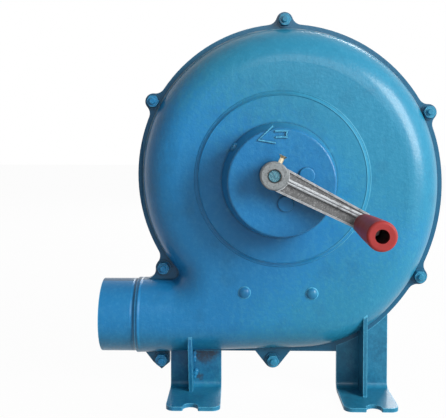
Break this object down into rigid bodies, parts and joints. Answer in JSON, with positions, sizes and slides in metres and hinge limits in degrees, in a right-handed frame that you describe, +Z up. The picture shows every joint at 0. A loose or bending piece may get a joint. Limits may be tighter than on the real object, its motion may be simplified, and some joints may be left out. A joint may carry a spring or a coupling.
{
  "type": "hand crank forge blower",
  "caption": "Volute air blower on welded feet, driven through a step-up gear train by a hand crank with a turning grip; air goes in at the back and out of a round spigot.",
  "frame": {"origin": "on the ground under the middle of the bounding box", "axes": "+Z up, the crank's side faces -Y, the outlet points to -X"},
  "size_m": [0.3098, 0.203, 0.3474],
  "materials": {
    "housing_paint": "glossy blue enamel over rough castings",
    "foot_paint": "thin blue enamel over welded steel plate",
    "fastener_paint": "painted over with the housing",
    "arm_casting": "rough grey casting with rubbed edges",
    "grip_plastic": "glossy red moulding",
    "zinc_screw": "yellowish zinc plate",
    "shaft_steel": "ground steel",
    "gear_steel": "oiled cut steel",
    "bearing_steel": "polished",
    "bush_bronze": "plain bronze",
    "plate_casting": "machined casting",
    "impeller_sheet": "plain sheet",
    "impeller_hub_steel": "turned"
  },
  "bodies": {
    "housing": {"front_shell": "housing_paint", "rear_shell": "housing_paint", "seam_bolts": "fastener_paint", "seam_nuts": "fastener_paint", "face_rivets": "fastener_paint", "oil_plug": "fastener_paint", "left_foot": "foot_paint", "left_gusset": "foot_paint", "right_foot": "foot_paint", "right_gusset": "foot_paint", "gear_case_plate": "plate_casting", "plate_screws": "shaft_steel", "crank_bush": "bush_bronze", "first_layshaft_bushes": "bush_bronze", "second_layshaft_bushes": "bush_bronze", "bearing_outer_races": "bearing_steel", "bearing_balls": "bearing_steel"},
    "crank": {"crank_shaft": "shaft_steel", "crank_gear": "gear_steel", "crank_gear_key": "shaft_steel", "crank_arm": "arm_casting", "crank_set_screw": "zinc_screw", "handle_pin": "shaft_steel"},
    "grip": {"handle_grip": "grip_plastic"},
    "first_layshaft": {"first_layshaft": "shaft_steel", "first_pinion": "gear_steel", "first_gear": "gear_steel"},
    "second_layshaft": {"second_layshaft": "shaft_steel", "second_pinion": "gear_steel", "second_gear": "gear_steel"},
    "fan": {"fan_shaft": "shaft_steel", "bearing_inner_races": "bearing_steel", "impeller_hub": "impeller_hub_steel", "impeller_disc": "impeller_sheet", "impeller_blades": "impeller_sheet", "impeller_rivets": "impeller_sheet", "impeller_washer": "shaft_steel", "impeller_nut": "shaft_steel"}
  },
  "joints": [
    {"name": "crank_turn", "type": "hinge", "parent": "housing", "child": "crank", "pos_m": [-0.002, -0.019, 0.20269], "axis": [0, -1, 0], "continuous": true},
    {"name": "grip_spin", "type": "hinge", "parent": "crank", "child": "grip", "pos_m": [0.06925, -0.0685, 0.16416], "axis": [0, -1, 0], "continuous": true},
    {"name": "first_layshaft_turn", "type": "hinge", "parent": "housing", "child": "first_layshaft", "pos_m": [0.02519, 0.013, 0.20245], "axis": [0, -1, 0], "continuous": true},
    {"name": "second_layshaft_turn", "type": "hinge", "parent": "housing", "child": "second_layshaft", "pos_m": [0.00806, 0.021, 0.1793], "axis": [0, -1, 0], "continuous": true},
    {"name": "fan_turn", "type": "hinge", "parent": "housing", "child": "fan", "pos_m": [0.00806, 0.0595, 0.1973], "axis": [0, -1, 0], "continuous": true}
  ],
  "couplings": [
    {"joint": "first_layshaft_turn", "follows": "crank_turn", "ratio": -3.25},
    {"joint": "second_layshaft_turn", "follows": "crank_turn", "ratio": 9.75},
    {"joint": "fan_turn", "follows": "crank_turn", "ratio": -30.136}
  ]
}
